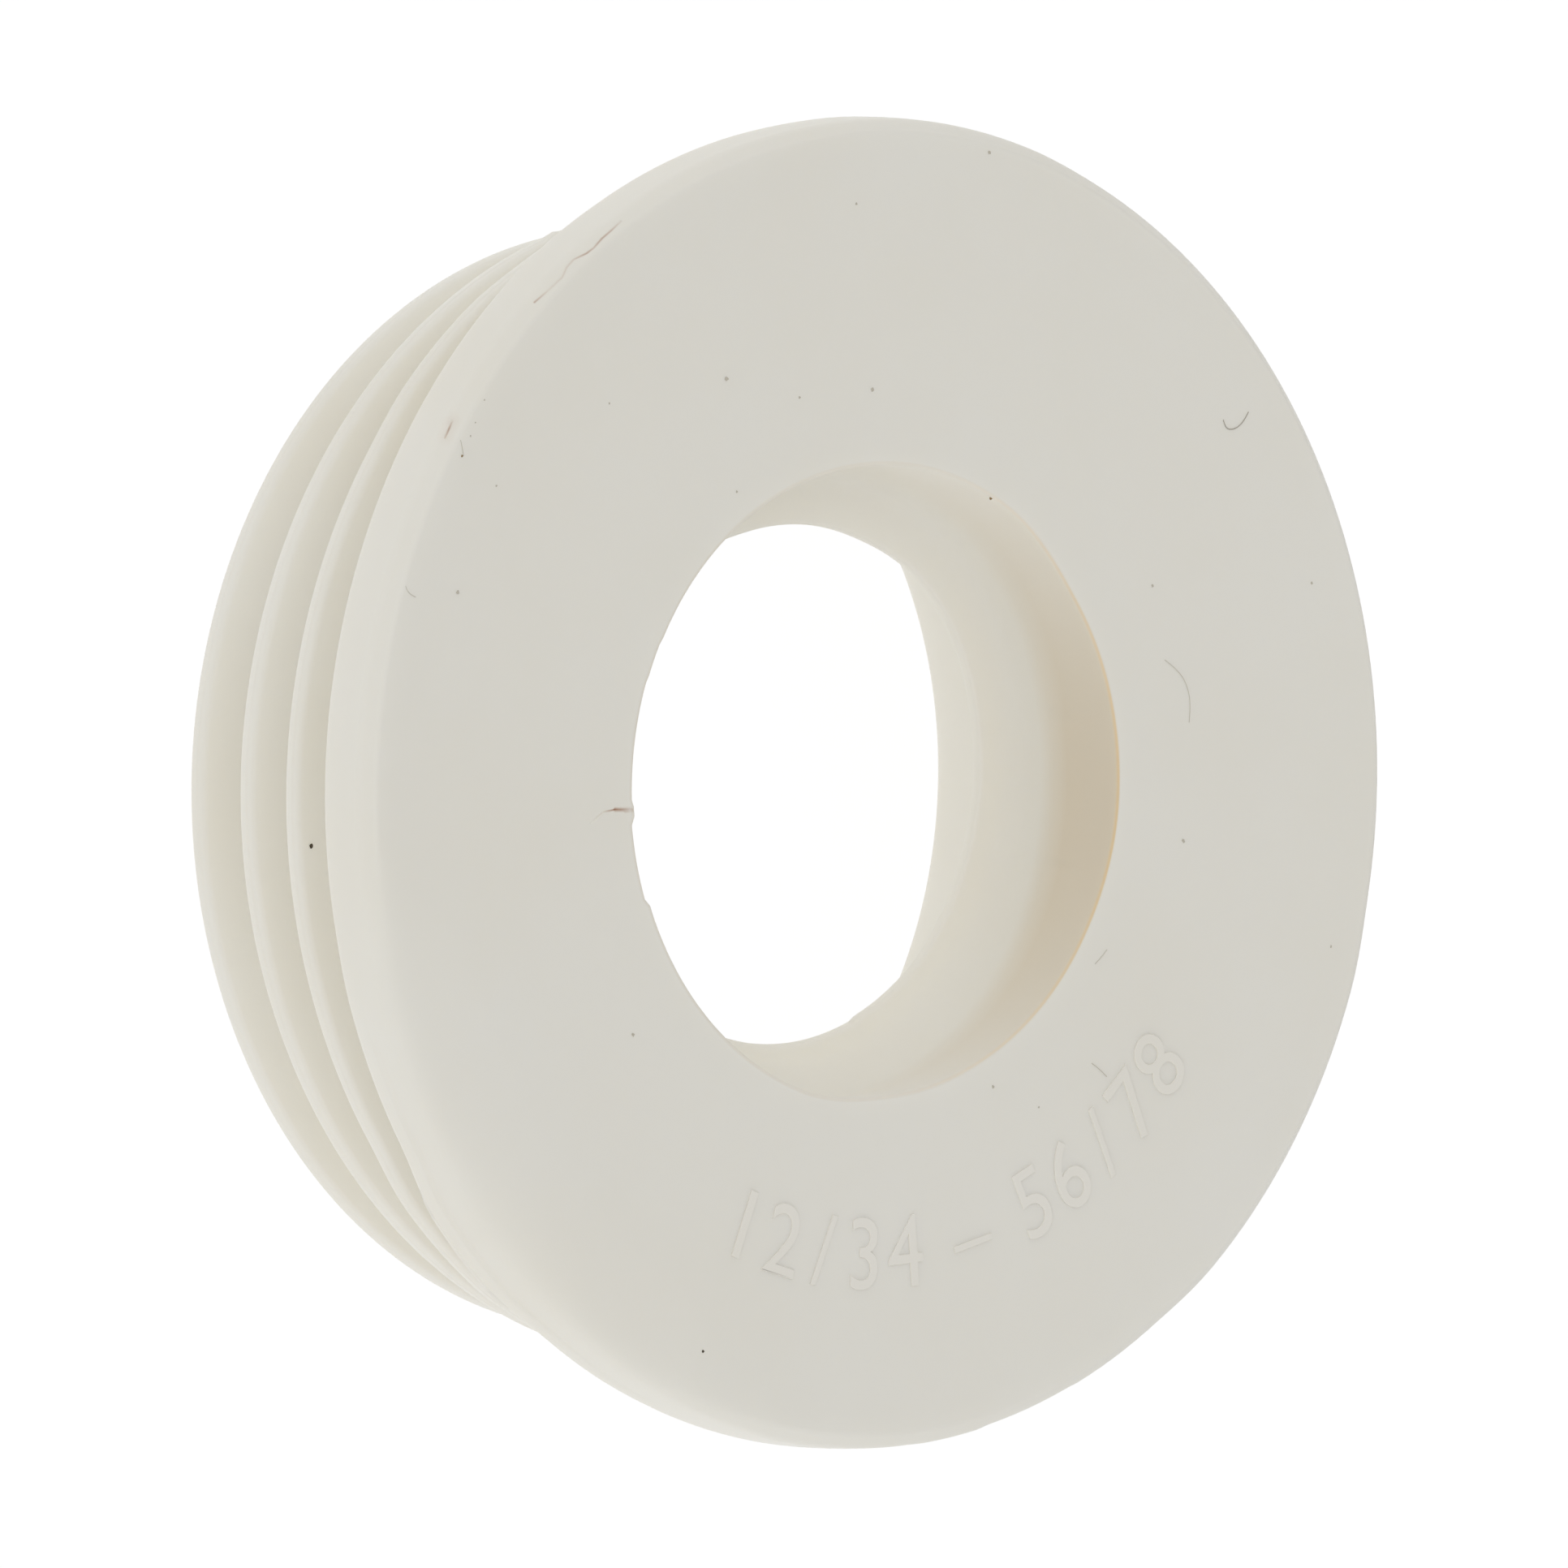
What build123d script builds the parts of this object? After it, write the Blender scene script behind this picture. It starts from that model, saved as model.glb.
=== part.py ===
from build123d import *

import os
from math import radians, tan

# Flush pipe connector: a one-piece moulded rubber seal, turned about Z.
# It stands on its rear end at Z = 0, and the flange's front face is its top.
# Lengths are in millimetres and angles in degrees.

# Pipe socket in the front face
socket_diameter = 31.6
socket_depth = 7.2
socket_mouth_rounding = 0.3
socket_corner_rounding = 2.45
socket_wall = 2.2

# Stop lip at the bottom of the socket
lip_flat = 0.35
lip_edge_thickness = 0.6
lip_root_thickness = 2.2
lip_edge_rounding = 0.2
sleeve_end_rounding = 1.2

# Hollow behind the flange, which lets the socket's sleeve stretch
web_thickness = 3.3
stretch_gap = 3.4
hollow_flare = 1.05
hollow_corner_rounding = 1.0

# Skirt that carries the fins
skirt_root_wall = 4.5
skirt_end_wall = 2.2
rear_collar = 0.75
rear_inner_rounding = 0.3
rear_outer_rounding = 0.2

# Sealing fins, named from the flange to the rear end
front_fin_height = 4.67
middle_fin_height = 3.53
rear_fin_height = 2.63
front_groove_width = 5.2
fin_pitch = 5.3
fin_crest_width = 1.1
fin_back_slope = 20.0
fin_front_rounding = 0.5
fin_rear_rounding = 0.15
fin_root_rounding = 0.5

# Flange
flange_thickness = 3.3
flange_overhang = 2.85
flange_front_rounding = 1.3
flange_rear_rounding = 0.3

# Heights along the axis, from the rear end up
fin_heights = (front_fin_height, middle_fin_height, rear_fin_height)
fin_back_ratio = tan(radians(fin_back_slope))
rear_fin_bottom = rear_collar + rear_fin_height * fin_back_ratio
front_fin_top = rear_fin_bottom + fin_crest_width + fin_pitch * (len(fin_heights) - 1)
flange_back = front_fin_top + front_groove_width
overall_length = flange_back + flange_thickness
hollow_top = overall_length - web_thickness
lip_front = overall_length - socket_depth
lip_back = lip_front - lip_edge_thickness
sleeve_end = lip_front - lip_root_thickness

# Radii, from the socket outwards
socket_radius = socket_diameter / 2
neck_radius = socket_radius - socket_corner_rounding - lip_flat
sleeve_radius = socket_radius + socket_wall
hollow_top_radius = sleeve_radius + stretch_gap
hollow_end_radius = hollow_top_radius + hollow_flare
skirt_root_radius = hollow_top_radius + skirt_root_wall
skirt_end_radius = hollow_end_radius + skirt_end_wall


def skirt_radius(height):
    """Outside radius of the skirt, which tapers from the flange to the rear end."""
    share = height / flange_back
    return skirt_end_radius + share * (skirt_root_radius - skirt_end_radius)


def crest_bottom(index):
    """Height of the rear edge of one fin's crest."""
    return front_fin_top - index * fin_pitch - fin_crest_width


def crest_radius(index):
    """Radius of one fin's crest, its own height above the skirt."""
    return skirt_radius(crest_bottom(index)) + fin_heights[index]


flange_radius = crest_radius(0) + flange_overhang


def flange_corners():
    """Corners and roundings from the socket's mouth round to the flange's back."""
    return [
        ((socket_radius, overall_length), socket_mouth_rounding),
        ((flange_radius, overall_length), flange_front_rounding),
        ((flange_radius, flange_back), flange_rear_rounding),
        ((skirt_root_radius, flange_back), fin_root_rounding),
    ]


def fin_corners(index):
    """Corners of one fin: a square front face, a narrow crest and a sloping back."""
    bottom = crest_bottom(index)
    top = bottom + fin_crest_width
    crest = crest_radius(index)
    root_bottom = bottom - fin_heights[index] * fin_back_ratio
    return [
        ((skirt_radius(top), top), fin_root_rounding),
        ((crest, top), fin_front_rounding),
        ((crest, bottom), fin_rear_rounding),
        ((skirt_radius(root_bottom), root_bottom), fin_root_rounding),
    ]


def rear_end_corners():
    """Corners of the skirt's rear end, which the connector stands on."""
    return [
        ((skirt_end_radius, 0), rear_outer_rounding),
        ((hollow_end_radius, 0), rear_inner_rounding),
    ]


def hollow_corners():
    """Corners at the top of the ring-shaped hollow between skirt and sleeve."""
    return [
        ((hollow_top_radius, hollow_top), hollow_corner_rounding),
        ((sleeve_radius, hollow_top), hollow_corner_rounding),
    ]


def socket_corners():
    """Corners of the sleeve's end, the stop lip and the socket's rounded floor."""
    return [
        ((sleeve_radius, sleeve_end), sleeve_end_rounding),
        ((neck_radius, lip_back), lip_edge_rounding),
        ((neck_radius, lip_front), lip_edge_rounding),
        ((socket_radius, lip_front), socket_corner_rounding),
    ]


def connector_section():
    """Half section of the connector, drawn in the XZ plane."""
    corners = flange_corners()
    for index in range(len(fin_heights)):
        corners += fin_corners(index)
    corners += rear_end_corners() + hollow_corners() + socket_corners()
    points = [point for point, rounding in corners]
    roundings = [rounding for point, rounding in corners]
    outline = FilletPolyline(*points, radius=roundings, close=True)
    return Plane.XZ * make_face(outline)


def make_connector():
    """The whole connector as one solid of revolution."""
    return revolve(connector_section(), axis=Axis.Z)


os.makedirs("parts", exist_ok=True)
export_step(make_connector(), "parts/connector_body.step")
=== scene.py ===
"""Dress the flush pipe connector as a moulded rubber part, and set up its portrait."""

import logging
from dataclasses import dataclass, replace
from enum import Enum
from functools import cached_property
from math import atan2, cos, degrees, hypot, radians, sin, tan, tau
from typing import Any, Callable, NamedTuple, Union

import bmesh
import bpy
from mathutils import Matrix, Vector
from mathutils.geometry import intersect_point_line


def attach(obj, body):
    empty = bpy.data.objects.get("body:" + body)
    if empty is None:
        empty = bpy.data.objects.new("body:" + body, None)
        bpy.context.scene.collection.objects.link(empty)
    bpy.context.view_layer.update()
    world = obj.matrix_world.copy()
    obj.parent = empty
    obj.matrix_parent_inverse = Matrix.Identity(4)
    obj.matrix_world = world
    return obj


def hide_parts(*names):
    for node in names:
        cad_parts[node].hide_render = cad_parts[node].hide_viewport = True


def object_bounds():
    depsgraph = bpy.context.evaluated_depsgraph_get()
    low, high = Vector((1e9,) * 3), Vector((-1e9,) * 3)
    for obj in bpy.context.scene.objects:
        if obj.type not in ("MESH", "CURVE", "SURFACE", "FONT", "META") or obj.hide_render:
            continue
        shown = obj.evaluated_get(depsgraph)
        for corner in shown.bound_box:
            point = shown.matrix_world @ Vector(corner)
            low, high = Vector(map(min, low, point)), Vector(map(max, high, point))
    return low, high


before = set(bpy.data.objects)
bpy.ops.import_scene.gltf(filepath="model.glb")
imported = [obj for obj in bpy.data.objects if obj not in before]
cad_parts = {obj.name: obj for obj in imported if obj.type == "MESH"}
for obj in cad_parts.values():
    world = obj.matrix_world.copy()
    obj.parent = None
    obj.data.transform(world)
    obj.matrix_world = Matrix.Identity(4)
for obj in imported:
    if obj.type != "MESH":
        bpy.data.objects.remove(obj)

LOG = logging.getLogger("connector")
CAD_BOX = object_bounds()
BODY = "root"
NODE = "connector_body"
MM = 0.001
MERGE_DISTANCE = 0.001 * MM
FACE_HEIGHT = CAD_BOX[1][2] / MM
GRIME = "grime"
# Vertex attribute of painted shade on the socket's wall.
PAINTED_SHADE = "painted_shade"
# Vertex attribute of a painted warm glow along the socket's mouth.
PAINTED_GLOW = "painted_glow"


class Corner(NamedTuple):
    """One corner of the half section, in millimetres."""

    radius: float
    height: float
    rounding: float


class SkinPoint(NamedTuple):
    """A place on the skin: millimetres from the axis and the floor, degrees from +X towards +Y."""

    radius: float
    bearing: float
    height: float = FACE_HEIGHT

    def place(self) -> Vector:
        """Give the place in the frame, in metres."""
        angle = radians(self.bearing)
        return Vector((self.radius * cos(angle), self.radius * sin(angle), self.height)) * MM


class EdgeWear(NamedTuple):
    """A stretch of an edge between two bearings that stands further out, or in if negative."""

    start: float
    end: float
    outward: float


class Side(Enum):
    """Directions that the light tent's soft lights come from, the upper ones half way up."""

    PHOTO_BOTTOM = (1.0, 0.0, 0.0)
    FAR = (0.0, 1.0, 0.0)
    UPPER_PHOTO_TOP = (-0.707, 0.0, 0.707)
    UPPER_PHOTO_BOTTOM = (0.707, 0.0, 0.707)
    UPPER_CAMERA = (0.0, -0.707, 0.707)


def linear_colour(hex_colour: str) -> tuple[float, float, float, float]:
    """Turn an sRGB hex colour into linear values.

    Args:
        hex_colour: Six hex digits after a hash sign.

    Returns:
        Linear red, green and blue, and full opacity.
    """
    channels = [int(hex_colour[start:start + 2], 16) / 255 for start in (1, 3, 5)]
    linear = [c / 12.92 if c <= 0.04045 else ((c + 0.055) / 1.055) ** 2.4 for c in channels]
    return (linear[0], linear[1], linear[2], 1.0)


def add_node(
    tree: bpy.types.NodeTree, kind: str, settings: dict[str, Any], inputs: dict[Union[str, int], Any]
) -> bpy.types.Node:
    """Add one node with its settings, values and links.

    Args:
        tree: The node tree that gets the node.
        kind: The node's type name.
        settings: Properties of the node itself.
        inputs: Values or output sockets by the name or number of the input.

    Returns:
        The new node.
    """
    node = tree.nodes.new(kind)
    for name, value in settings.items():
        setattr(node, name, value)
    for name, value in inputs.items():
        if isinstance(value, bpy.types.NodeSocket):
            tree.links.new(value, node.inputs[name])
        else:
            node.inputs[name].default_value = value
    return node


def new_material(name: str) -> tuple[bpy.types.Material, bpy.types.NodeTree]:
    """Start a node material with an empty tree.

    Args:
        name: The material's name.

    Returns:
        The material and its node tree.
    """
    material = bpy.data.materials.new(name)
    material.use_nodes = True
    material.node_tree.nodes.clear()
    return material, material.node_tree


def bearing_of(co: Vector) -> float:
    """Give the bearing of a place in degrees, from +X towards +Y."""
    return degrees(atan2(co.y, co.x))


def select_where(piece: bpy.types.Object, test: Callable[[Vector], bool]) -> int:
    """Select only the vertices of the piece in edit mode that pass a test.

    Args:
        piece: The object in edit mode.
        test: Says for a vertex's place whether it is selected.

    Returns:
        How many vertices are selected.
    """
    bpy.ops.mesh.select_all(action="DESELECT")
    mesh = bmesh.from_edit_mesh(piece.data)
    chosen = [vertex for vertex in mesh.verts if test(vertex.co)]
    for vertex in chosen:
        vertex.select = True
    mesh.select_flush(True)
    bmesh.update_edit_mesh(piece.data)
    return len(chosen)


def start_piece(name: str) -> bpy.types.Object:
    """Name the primitive that was just added, and enter its edit mode."""
    piece = bpy.context.object
    piece.name = name
    piece.data.name = name
    bpy.ops.object.mode_set(mode="EDIT")
    bpy.ops.mesh.select_mode(type="VERT")
    return piece


def join_pieces(pieces: list[bpy.types.Object], name: str) -> bpy.types.Object:
    """Join meshes into one piece whose place is in its mesh.

    Args:
        pieces: The meshes, in object mode.
        name: The joined piece's name.

    Returns:
        The joined piece, at the origin, unturned and unscaled.
    """
    bpy.ops.object.select_all(action="DESELECT")
    for piece in pieces:
        piece.select_set(True)
    bpy.context.view_layer.objects.active = pieces[0]
    bpy.ops.object.transform_apply(location=True, rotation=True, scale=True)
    if len(pieces) > 1:
        bpy.ops.object.join()
    joined = bpy.context.object
    joined.name = name
    joined.data.name = name
    return joined


def dress_piece(piece: bpy.types.Object, material: bpy.types.Material, smooth_angle: float) -> None:
    """Shade a piece smooth below an angle, give it its material and fix it to the body.

    Args:
        piece: The piece, active and in object mode.
        material: Its finish.
        smooth_angle: Sharpest angle in degrees that is still shaded smooth.
    """
    bpy.ops.object.shade_smooth_by_angle(angle=radians(smooth_angle))
    piece.data.materials.clear()
    piece.data.materials.append(material)
    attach(piece, BODY)
    LOG.info("%s: %d faces", piece.name, len(piece.data.polygons))


@dataclass(frozen=True)
class MouldedRubber:
    """Soft moulded rubber, off-white: dull skin, light glows through thin edges, with painted shade on the
    socket's wall and a painted warm glow along its mouth's edge.
    """

    name: str = "moulded_soft_rubber"
    colour: str = "#F9F7F2"
    aged_colour: str = "#F5F2E9"
    # Colour of the painted shade on the socket's wall.
    painted_shade_colour: str = "#DCC9A8"
    # Colour of the painted glow along the mouth's edge.
    painted_glow_colour: str = "#E8BE6C"
    grime_colour: str = "#A2622C"
    mottle_size: float = 14.0
    grain_size: float = 0.35
    grain_height: float = 0.004
    roughness: float = 0.55
    roughness_change: float = 0.06
    ior: float = 1.5
    glow_weight: float = 0.4
    glow_depth: float = 0.6
    glow_spread: tuple[float, float, float] = (1.0, 0.97, 0.9)

    def material(self) -> bpy.types.Material:
        """Build the rubber's node material.

        Returns:
            The material, on Object coordinates and the skin's painted shade, painted glow and grime attributes.
        """
        material, tree = new_material(self.name)
        place = add_node(tree, "ShaderNodeTexCoord", {}, {}).outputs["Object"]
        mottle = add_node(
            tree, "ShaderNodeTexNoise", {},
            {"Vector": place, "Scale": 1 / (self.mottle_size * MM), "Detail": 3.0, "Roughness": 0.6},
        ).outputs["Fac"]
        layers = [(mottle, self.aged_colour)]
        # Layers over the base: random mottle, painted shade, a painted glow, then real grime.
        for name, layer in (
            (PAINTED_SHADE, self.painted_shade_colour), (PAINTED_GLOW, self.painted_glow_colour), (GRIME, self.grime_colour)
        ):
            mask = add_node(tree, "ShaderNodeAttribute", {"attribute_name": name}, {})
            layers.append((mask.outputs["Fac"], layer))
        colour: Any = linear_colour(self.colour)
        for mask, layer in layers:
            colour = add_node(
                tree, "ShaderNodeMix", {"data_type": "RGBA"}, {0: mask, 6: colour, 7: linear_colour(layer)}
            ).outputs[2]
        dullness = add_node(
            tree, "ShaderNodeMapRange", {},
            {"Value": mottle, "To Min": self.roughness - self.roughness_change,
             "To Max": self.roughness + self.roughness_change},
        )
        grain = add_node(
            tree, "ShaderNodeTexNoise", {},
            {"Vector": place, "Scale": 1 / (self.grain_size * MM), "Detail": 2.0},
        )
        skin = add_node(
            tree, "ShaderNodeBump", {},
            {"Height": grain.outputs["Fac"], "Distance": self.grain_height * MM, "Strength": 1.0},
        )
        shader = add_node(
            tree, "ShaderNodeBsdfPrincipled", {},
            {
                "Base Color": colour, "Normal": skin.outputs["Normal"],
                "Roughness": dullness.outputs["Result"], "IOR": self.ior,
                "Subsurface Weight": self.glow_weight, "Subsurface Radius": self.glow_spread,
                "Subsurface Scale": self.glow_depth * MM,
            },
        )
        add_node(tree, "ShaderNodeOutputMaterial", {}, {"Surface": shader.outputs["BSDF"]})
        return material


@dataclass(frozen=True)
class Lint:
    """Household dust and lint: dry, dull, and darker or paler in patches."""

    name: str
    colour: str
    patch_colour: str
    patch_size: float = 0.3
    roughness: float = 0.9

    def material(self) -> bpy.types.Material:
        """Build the dust's node material.

        Returns:
            The material, on Object coordinates.
        """
        material, tree = new_material(self.name)
        place = add_node(tree, "ShaderNodeTexCoord", {}, {}).outputs["Object"]
        patches = add_node(
            tree, "ShaderNodeTexNoise", {}, {"Vector": place, "Scale": 1 / (self.patch_size * MM)}
        )
        colour = add_node(
            tree, "ShaderNodeMix", {"data_type": "RGBA"},
            {0: patches.outputs["Fac"], 6: linear_colour(self.colour), 7: linear_colour(self.patch_colour)},
        )
        shader = add_node(
            tree, "ShaderNodeBsdfPrincipled", {},
            {"Base Color": colour.outputs[2], "Roughness": self.roughness},
        )
        add_node(tree, "ShaderNodeOutputMaterial", {}, {"Surface": shader.outputs["BSDF"]})
        return material


@dataclass(frozen=True)
class WornLine:
    """A crease, slit or tear: a path on the skin that is pressed in and holds dirt."""

    path: tuple[SkinPoint, ...]
    dirt: tuple[float, ...]
    width: float
    depth: float
    slope: float

    @cached_property
    def places(self) -> list[Vector]:
        """The path's points in the frame, in metres."""
        return [point.place() for point in self.path]

    @cached_property
    def outward(self) -> Vector:
        """The direction out of the skin at the middle of the path."""
        angle, slope = radians(self.path[len(self.path) // 2].bearing), radians(self.slope)
        return Vector((cos(angle) * cos(slope), sin(angle) * cos(slope), sin(slope)))

    @cached_property
    def length(self) -> float:
        """The straight distance between the path's ends, in millimetres."""
        return (self.places[0] - self.places[-1]).length / MM

    def nearest(self, co: Vector) -> tuple[float, float]:
        """Find how far a place is from the path along the skin, and how dirty the path is there.

        Args:
            co: A place in the frame, in metres.

        Returns:
            The distance in millimetres and the dirt from 0 to 1.
        """
        best = (float("inf"), 0.0)
        for index, (start, end) in enumerate(zip(self.places, self.places[1:])):
            _, share = intersect_point_line(co, start, end)
            share = min(max(share, 0.0), 1.0)
            offset = co - start.lerp(end, share)
            gap = (offset - self.outward * offset.dot(self.outward)).length / MM
            dirt = self.dirt[index] + share * (self.dirt[index + 1] - self.dirt[index])
            best = min(best, (gap, dirt))
        return best

    def covers(self, co: Vector, reach: float) -> bool:
        """Tell whether a place is within a reach in millimetres of the path."""
        if (co - self.places[0]).length / MM > self.length + 2 * reach:
            return False
        return self.nearest(co)[0] < reach


@dataclass
class ConnectorBody:
    """The one moulded ring: flange, socket, stop lip, sleeve, skirt and sealing fins."""

    socket_radius: float = 15.8
    socket_depth: float = 7.2
    mouth_rounding: float = 0.18
    floor_rounding: float = 2.45
    socket_wall: float = 2.2
    lip_flat: float = 0.35
    lip_edge: float = 0.6
    lip_root: float = 2.2
    lip_rounding: float = 0.2
    sleeve_rounding: float = 1.2
    web: float = 3.3
    stretch_gap: float = 3.4
    hollow_flare: float = 1.05
    hollow_rounding: float = 1.0
    skirt_root_wall: float = 4.5
    skirt_end_wall: float = 2.2
    rear_inner_rounding: float = 0.3
    rear_outer_rounding: float = 0.2
    fin_heights: tuple[float, float, float] = (4.67, 3.53, 2.63)
    fin_flash: tuple[float, float, float] = (0.02, 0.02, 0.015)
    flash_width: float = 0.14
    fin_pitch: float = 5.3
    fin_crest: float = 1.0
    fin_front_slope: float = 12.0
    fin_back_slope: float = 20.0
    fin_tip_rounding: float = 0.34
    flash_rounding: float = 0.02
    fin_root_rounding: float = 0.5
    groove_width: float = 5.3
    flange: float = 3.3
    flange_overhang: float = 2.85
    rim_bevel: tuple[Corner, ...] = (
        Corner(0.7, 0.0, 0.35), Corner(0.05, 0.7, 0.6), Corner(0.0, 1.9, 4.0),
    )
    flange_rear_rounding: float = 0.3
    turn_steps: int = 240
    most_segments: int = 14
    longest_edge: float = 1.3
    smooth_angle: float = 40.0
    refine_reach: float = 1.0
    flange_oval: tuple[float, float] = (-0.14, 0.13)
    flange_shift: tuple[float, float] = (-0.08, 0.12)
    skirt_shift: tuple[float, float] = (0.2, 0.0)
    skirt_bend_reach: float = 6.0
    lip_tilt: float = -2.7
    lip_rise: float = 0.09
    lip_sag: EdgeWear = EdgeWear(80.0, 100.0, -0.42)
    lip_sag_reach: float = 9.0
    lip_bend_reach: float = 2.4
    mouth_wear: tuple[EdgeWear, ...] = (
        EdgeWear(-115.0, -107.0, 0.06), EdgeWear(-107.0, -85.5, 0.12), EdgeWear(-81.5, -67.4, 0.2),
    )
    mouth_reach: tuple[float, float] = (0.35, 0.35)
    mouth_wear_softness: float = 0.4
    mouth_set: tuple[EdgeWear, ...] = (
        EdgeWear(8.0, 128.0, -0.44), EdgeWear(30.0, 62.0, -0.14),
    )
    mouth_set_softness: float = 7.0
    lip_wear: tuple[EdgeWear, ...] = (
        EdgeWear(27.0, 60.0, -0.12), EdgeWear(60.0, 74.0, -0.07), EdgeWear(74.0, 88.0, -0.03),
    )
    lip_set: tuple[EdgeWear, ...] = (EdgeWear(165.0, 195.0, -0.22),)
    lip_set_softness: float = 5.0
    lip_reach: tuple[float, float] = (0.45, 0.8)
    lip_wear_softness: float = 0.12
    rim_wear: tuple[EdgeWear, ...] = (EdgeWear(8.0, 16.2, 0.03), EdgeWear(16.2, 26.0, -0.04))
    rim_set: tuple[EdgeWear, ...] = (
        EdgeWear(44.0, 74.0, 0.17), EdgeWear(-168.0, -150.0, -0.08), EdgeWear(165.0, 179.0, 0.07),
    )
    rim_set_softness: float = 5.0
    rim_reach: tuple[float, float] = (0.3, 3.2)
    rim_wear_softness: float = 0.3
    rim_sag: EdgeWear = EdgeWear(-70.0, -25.0, -0.2)
    rim_sag_reach: float = 4.5
    back_sag: EdgeWear = EdgeWear(-49.0, -39.0, -0.55)
    back_sag_reach: float = 4.2
    soft_rim: tuple[tuple[float, float], ...] = (
        (-82.0, -10.0), (-74.0, -18.0), (-66.0, -26.0), (-58.0, -34.0)
    )
    soft_rim_width: float = 2.6
    soft_rim_passes: int = 22
    fin_set: tuple[EdgeWear, ...] = (EdgeWear(-46.0, -33.0, 0.24), EdgeWear(-140.0, -128.0, 0.12))
    fin_set_softness: float = 4.0
    fin_reach: tuple[float, float] = (0.6, 0.8)
    # Painted shade on the socket's wall and a painted glow on its mouth's edge, both strongest towards this
    # bearing.
    shade_and_glow_bearing: float = 85.0
    shade_and_glow_focus: float = 2.0
    shade_and_glow_least: float = 0.05
    painted_shade_depth: tuple[float, float] = (4.0, 5.6)
    wall_painted_shade: float = 0.53
    edge_painted_shade: float = 0.15
    # Strength of the painted glow along the mouth's rounding.
    edge_painted_glow: float = 0.75
    edge_line: float = 0.08
    burr: SkinPoint = SkinPoint(28.65, -159.3, 7.6)
    burr_height: float = 0.16
    burr_reach: float = 0.3
    worn_lines: tuple[WornLine, ...] = (
        # Crease in the rim's rounding, upper left
        WornLine(
            path=(
                SkinPoint(32.59, -134.9, 21.44), SkinPoint(32.51, -136.6, 21.55),
                SkinPoint(32.47, -138.5, 21.62), SkinPoint(32.58, -139.6, 21.45),
                SkinPoint(32.60, -140.6, 21.42), SkinPoint(32.47, -141.9, 21.62),
                SkinPoint(32.45, -142.8, 21.66), SkinPoint(32.50, -144.1, 21.57),
                SkinPoint(32.52, -145.5, 21.55), SkinPoint(32.56, -146.8, 21.48),
            ),
            dirt=(0.55, 0.14, 0.18, 0.2, 0.22, 0.6, 0.35, 0.6, 0.4, 0.15),
            width=0.08, depth=0.02, slope=45.0,
        ),
        # Slit in the rim's rounding, left
        WornLine(
            path=(
                SkinPoint(32.67, -121.3, 21.30), SkinPoint(32.65, -120.6, 21.33),
                SkinPoint(32.64, -119.7, 21.35),
            ),
            dirt=(0.2, 0.65, 0.3), width=0.08, depth=0.05, slope=45.0,
        ),
        # Sore skin round the slit
        WornLine(
            path=(SkinPoint(32.67, -121.3, 21.30), SkinPoint(32.64, -119.7, 21.35)),
            dirt=(0.09, 0.05), width=0.5, depth=0.02, slope=45.0,
        ),
        # Tear at the socket's mouth, narrow tail first
        WornLine(
            path=(
                SkinPoint(18.69, -82.4), SkinPoint(17.83, -83.9), SkinPoint(17.09, -84.1),
            ),
            dirt=(0.0, 0.15, 0.9), width=0.07, depth=0.03, slope=90.0,
        ),
        WornLine(
            path=(
                SkinPoint(17.09, -84.1), SkinPoint(16.4, -83.9), SkinPoint(15.95, -83.7, 21.85),
            ),
            dirt=(0.9, 0.55, 0.3), width=0.13, depth=0.05, slope=90.0,
        ),
    )

    def __post_init__(self) -> None:
        """Work out the heights and radii that follow from the sizes."""
        self.length = FACE_HEIGHT
        self.flange_back = self.length - self.flange
        self.hollow_top = self.length - self.web
        self.lip_front = self.length - self.socket_depth
        self.neck_radius = self.socket_radius - self.floor_rounding - self.lip_flat
        self.sleeve_radius = self.socket_radius + self.socket_wall
        self.hollow_radius = self.sleeve_radius + self.stretch_gap
        self.hollow_end_radius = self.hollow_radius + self.hollow_flare
        self.skirt_root_radius = self.hollow_radius + self.skirt_root_wall
        self.skirt_end_radius = self.hollow_end_radius + self.skirt_end_wall
        self.flange_radius = self.crest_radius(0) + self.flange_overhang

    def skirt_radius(self, height: float) -> float:
        """Give the outside radius of the tapered skirt at a height."""
        share = height / self.flange_back
        return self.skirt_end_radius + share * (self.skirt_root_radius - self.skirt_end_radius)

    def crest_bottom(self, fin: int) -> float:
        """Give the height of the rear edge of one fin's crest."""
        return self.flange_back - self.groove_width - fin * self.fin_pitch - self.fin_crest

    def crest_radius(self, fin: int) -> float:
        """Give the radius of one fin's crest."""
        return self.skirt_radius(self.crest_bottom(fin)) + self.fin_heights[fin]

    def fin_corners(self, fin: int) -> list[Corner]:
        """List the corners of one fin, from its front root over its flash line to its rear root."""
        bottom = self.crest_bottom(fin)
        top = bottom + self.fin_crest
        middle = (bottom + top) / 2
        crest = self.crest_radius(fin)
        proud = crest + self.fin_flash[fin]
        front = top + self.fin_heights[fin] * tan(radians(self.fin_front_slope))
        root = bottom - self.fin_heights[fin] * tan(radians(self.fin_back_slope))
        return [
            Corner(self.skirt_radius(front), front, self.fin_root_rounding),
            Corner(crest, top, self.fin_tip_rounding),
            Corner(crest, middle + self.flash_width / 2, 0.0),
            Corner(proud, middle + self.flash_width / 4, self.flash_rounding),
            Corner(proud, middle - self.flash_width / 4, self.flash_rounding),
            Corner(crest, middle - self.flash_width / 2, 0.0),
            Corner(crest, bottom, self.fin_tip_rounding),
            Corner(self.skirt_radius(root), root, self.fin_root_rounding),
        ]

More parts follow.
